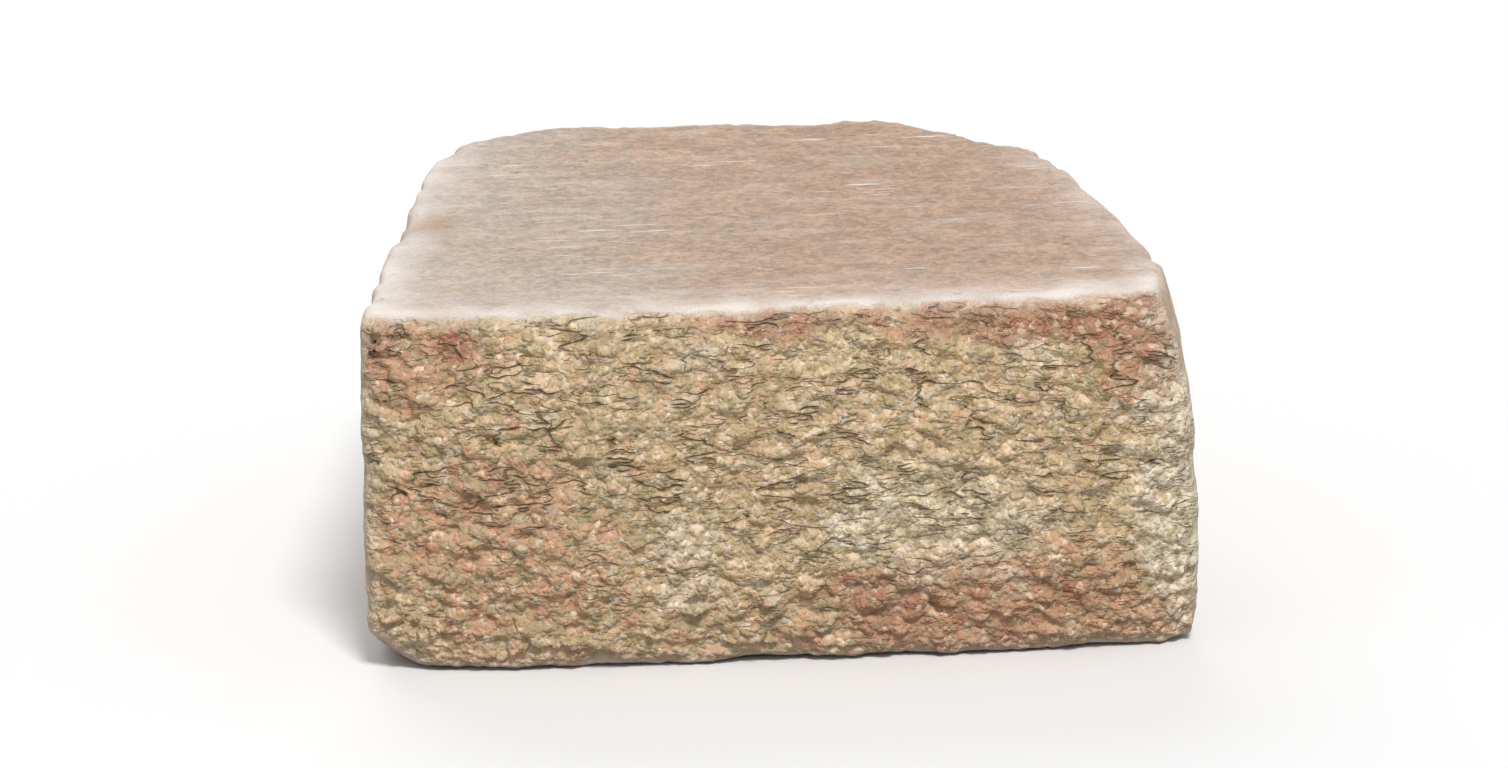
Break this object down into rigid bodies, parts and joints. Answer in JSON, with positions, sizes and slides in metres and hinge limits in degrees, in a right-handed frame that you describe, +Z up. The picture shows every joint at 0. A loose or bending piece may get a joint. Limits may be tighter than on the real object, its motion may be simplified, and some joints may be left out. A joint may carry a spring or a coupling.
{
  "type": "stacking block",
  "caption": "Tapered garden wall block in tumbled concrete, with rough split faces at its front and back, smooth beds and sides, and a broken back corner.",
  "frame": {"origin": "under the middle of the block, on the bed it rests on", "axes": "+Z up; X along the long front face; the long split face looks towards -Y and the short one towards +Y"},
  "size_m": [0.2967, 0.2888, 0.13],
  "materials": {
    "concrete": "rough split and tumbled concrete in blended sand and terracotta"
  },
  "bodies": {
    "root": {"block": "concrete"}
  },
  "joints": []
}
